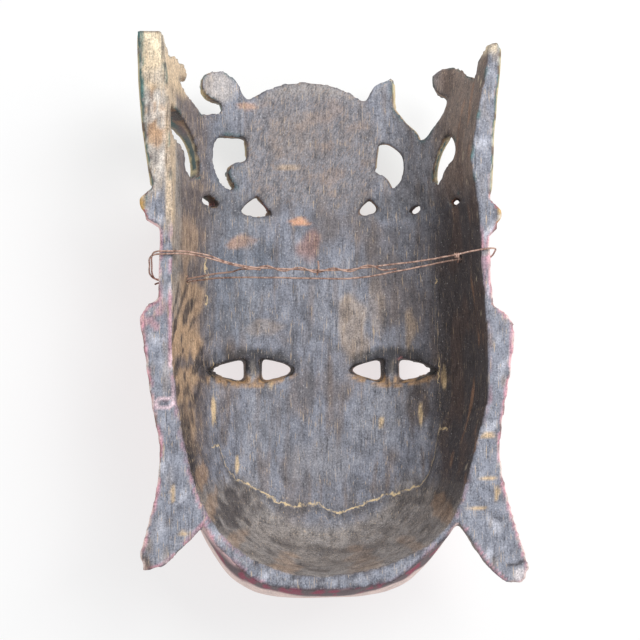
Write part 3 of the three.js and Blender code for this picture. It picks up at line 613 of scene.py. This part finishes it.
for at_x, at_y, wide, long in (
        (87, -64, 5, 1.3), (87, -88, 5, 1.2), (81, -105, 6, 1.2), (92, -96, 1.3, 5), (-98, -70, 1.2, 4),
        (-90, -96, 1.3, 5), (-84, -118, 4, 1.2)):
    lay((214, 184, 140), 0.8 * backs * patch(at_x, at_y, wide, long, at_y, 0.5))
lay((212, 206, 208), 0.85 * patch(107, -143, 7, 5, 8, 0.5) * (1 - front))
lobe_crack = np.abs(y + 136.5 - 0.35 * (x - 100) - 2 * blotch)
lay((46, 40, 44), 0.85 * backs * ease(lobe_crack, 1.6, 0.5) * ease(x, 96, 99))
lay((96, 78, 66), 0.85 * patch(-106, -136, 5, 7, 5, 0.4) * (1 - front))
lay((40, 36, 38), 0.5 * cupped * (1 - front))
lay((186, 176, 164), 0.35 * proud * inside * ease(edge_gap, 2, 4))
lay((84, 82, 90), 0.55 * ease(edge_gap, 1.4, 0.5) * (1 - front) * ease(small_blotch, -0.4, 0.1))

grain_share = np.clip(0.85 * inside + 0.55 * at_rim + 0.6 * cut_face, 0, 1) * (1 - front)
corner_left = np.interp(y, [-90, -62, -42, -30, -14, 1, 13, 26, 37, 60],
                        [-64, -68, -69, -70, -70.5, -71.5, -73.3, -72.7, -73.9, -74])
corner_right = np.interp(y, [-90, -50, -20, 15, 40, 60], [64, 67, 66, 63.5, 64.5, 66])
corner_gap = np.where(x < 0, x - corner_left, corner_right - x) + 1.2 * mottle(spot, (9, 9, 9), 17)
corner_gap = np.where((inside > 0.5) & (np.abs(z - 50) < 40), corner_gap, FAR)
fade = 6 * ease(mottle(spot, (6, 13, 6), 18), 0.2, -0.2)
fade += FAR * (1 - ease(y, -70, -60)) + FAR * ease(y, 44, 52)
corner_gap = corner_gap + fade * np.sign(corner_gap)
ledge_gap = np.where((inside > 0.5) & (np.abs(x) < 70) & (z < 80), ledge_y - y, FAR)

paint = even.color_attributes.new("patina", "FLOAT_COLOR", "POINT")
paint.data.foreach_set("color", np.column_stack([colour * LIGHT_SHARE, np.ones(count)]).ravel())
for name, values in (
        ("grain_share", grain_share), ("worn", np.clip(worn, 0, 1)), ("disc", disc),
        ("ledge_gap", ledge_gap), ("corner_gap", corner_gap)):
    even.attributes.new(name, "FLOAT", "POINT").data.foreach_set("value", values)


def maths(tree, kind, *values):
    """A sum done by a node."""
    made = tree.nodes.new("ShaderNodeMath")
    made.operation = kind
    for index, value in enumerate(values):
        if isinstance(value, bpy.types.NodeSocket):
            tree.links.new(value, made.inputs[index])
        else:
            made.inputs[index].default_value = value
    return made.outputs[0]


def share_of(tree, name):
    """A value painted on the mesh."""
    return node(tree, "ShaderNodeAttribute", attribute_name=name).outputs["Fac"]


wood = bpy.data.materials.new("painted_old_wood")
wood.use_nodes = True
tree = wood.node_tree
surface = tree.nodes["Principled BSDF"]
place = node(tree, "ShaderNodeTexCoord").outputs["Object"]
patina = node(tree, "ShaderNodeAttribute", attribute_name="patina").outputs["Color"]
grained = share_of(tree, "grain_share")
grain = lumps(tree, place, (1300, 105, 1300), 4, 0.6)
coarse_grain = lumps(tree, place, (420, 36, 420), 4, 0.6)
speckle = lumps(tree, place, (1150, 900, 1150), 3, 0.65)
clouding = lumps(tree, place, (190, 120, 190), 6, 0.72)
slanted = node(tree, "ShaderNodeMapping", {"Vector": place, "Rotation": (0, 0, math.radians(24))})
tool_marks = lumps(tree, slanted.outputs[0], (900, 240, 400), 4, 0.6)

# How dark or light the wood is at each place: clouds, specks and grain together.
value = maths(tree, "MULTIPLY", band(tree, clouding, 0.36, 0.64), 0.36)
value = maths(tree, "MULTIPLY_ADD", band(tree, speckle, 0.38, 0.62), 0.34, value)
value = maths(tree, "MULTIPLY_ADD", band(tree, grain, 0.34, 0.66), 0.22, value)
value = maths(tree, "MULTIPLY_ADD", band(tree, coarse_grain, 0.32, 0.68), 0.10, value)
value = maths(tree, "ADD", maths(tree, "MULTIPLY", maths(tree, "SUBTRACT", value, 0.5),
                                 band(tree, grained, 0.0, 0.6, 0.45, 1.0)), 0.5)
darker = mix(tree, 1.0, patina, (0.24, 0.24, 0.27, 1), "MULTIPLY")
lighter = mix(tree, 1.0, patina, (2.04, 2.0, 1.97, 1), "MULTIPLY")
skin = mix(tree, value, darker, lighter)

# Pale worn lines along the grain, slanting tool marks on the disc, dark pores and white flecks.
WORN, PORE, FLECK = tint(204, 178, 146), tint(30, 28, 31), tint(238, 236, 236)
lines = band(tree, maths(tree, "MULTIPLY_ADD", share_of(tree, "worn"), 0.09, grain), 0.64, 0.72, 0.0, 0.75)
skin = mix(tree, maths(tree, "MULTIPLY", lines, grained), skin, WORN)
marks = maths(tree, "MULTIPLY", band(tree, tool_marks, 0.52, 0.64, 0.0, 0.36), share_of(tree, "disc"))
skin = mix(tree, marks, skin, tint(176, 150, 130))
marks = maths(tree, "MULTIPLY", band(tree, tool_marks, 0.46, 0.34, 0.0, 0.45), share_of(tree, "disc"))
skin = mix(tree, marks, skin, PORE)
skin = mix(tree, maths(tree, "MULTIPLY", band(tree, coarse_grain, 0.4, 0.3, 0.0, 0.5), grained), skin, PORE)
flecks = maths(tree, "MULTIPLY", band(tree, speckle, 0.66, 0.73, 0.0, 0.75),
               band(tree, grained, 0.0, 0.3, 0.25, 1.0))
skin = mix(tree, flecks, skin, FLECK)
pores = maths(tree, "MULTIPLY", band(tree, speckle, 0.36, 0.28, 0.0, 0.6),
              band(tree, grained, 0.0, 0.3, 0.3, 1.0))
skin = mix(tree, pores, skin, PORE)
rags = lumps(tree, place, (260, 260, 260), 4, 0.6)
ragged = maths(tree, "MULTIPLY", maths(tree, "SUBTRACT", rags, 0.5), 7.0)
for name, wide in (("ledge_gap", 0.75), ("corner_gap", 0.55)):
    gap = maths(tree, "ABSOLUTE", maths(tree, "ADD", share_of(tree, name), ragged))
    worn_line = maths(tree, "MULTIPLY", band(tree, gap, wide, 0.3 * wide),
                      band(tree, clouding, 0.4, 0.52, 0.15, 0.9))
    skin = mix(tree, worn_line, skin, tint(236, 208, 160))
tree.links.new(skin, surface.inputs["Base Color"])
tree.links.new(band(tree, clouding, 0.3, 0.7, 0.5, 0.78), surface.inputs["Roughness"])
relief_bump = node(tree, "ShaderNodeBump", {"Height": grain, "Strength": 0.45, "Distance": 0.0005})
dust_bump = node(tree, "ShaderNodeBump", {"Height": clouding, "Strength": 0.6, "Distance": 0.0012,
                                          "Normal": relief_bump.outputs[0]})
tree.links.new(dust_bump.outputs[0], surface.inputs["Normal"])
surface.inputs["Specular IOR Level"].default_value = 0.5
even.materials.clear()
even.materials.append(wood)
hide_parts("mask_carving")
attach(carving, "root")

# ---------------------------------------------------------------- the table and the light
# A plain white table under a wide soft lamp, high on the right towards the crown, in a pale room.
bpy.ops.mesh.primitive_plane_add(size=6)
table = bpy.context.object
table.name = "table"
white = bpy.data.materials.new("white_table")
white.use_nodes = True
table_surface = white.node_tree.nodes["Principled BSDF"]
table_surface.inputs["Base Color"].default_value = (0.3, 0.3, 0.3, 1)
table_surface.inputs["Roughness"].default_value = 0.9
table_surface.inputs["Emission Color"].default_value = (1, 1, 1, 1)
table_surface.inputs["Emission Strength"].default_value = 0.66
table.data.materials.append(white)
lamp = bpy.data.objects.new("lamp", bpy.data.lights.new("lamp", "AREA"))
lamp.data.energy = 14
lamp.data.size = 0.7
lamp.location = (0.55, 0.55, 1.15)
lamp.rotation_euler = (-lamp.location).to_track_quat("-Z", "Y").to_euler()
bpy.context.scene.collection.objects.link(lamp)
room = bpy.data.worlds.new("room")
bpy.context.scene.world = room
room.use_nodes = True
room.node_tree.nodes["Background"].inputs["Color"].default_value = (0.97, 0.985, 1.0, 1)
room.node_tree.nodes["Background"].inputs["Strength"].default_value = 0.62
bpy.context.scene.view_settings.view_transform = "Standard"
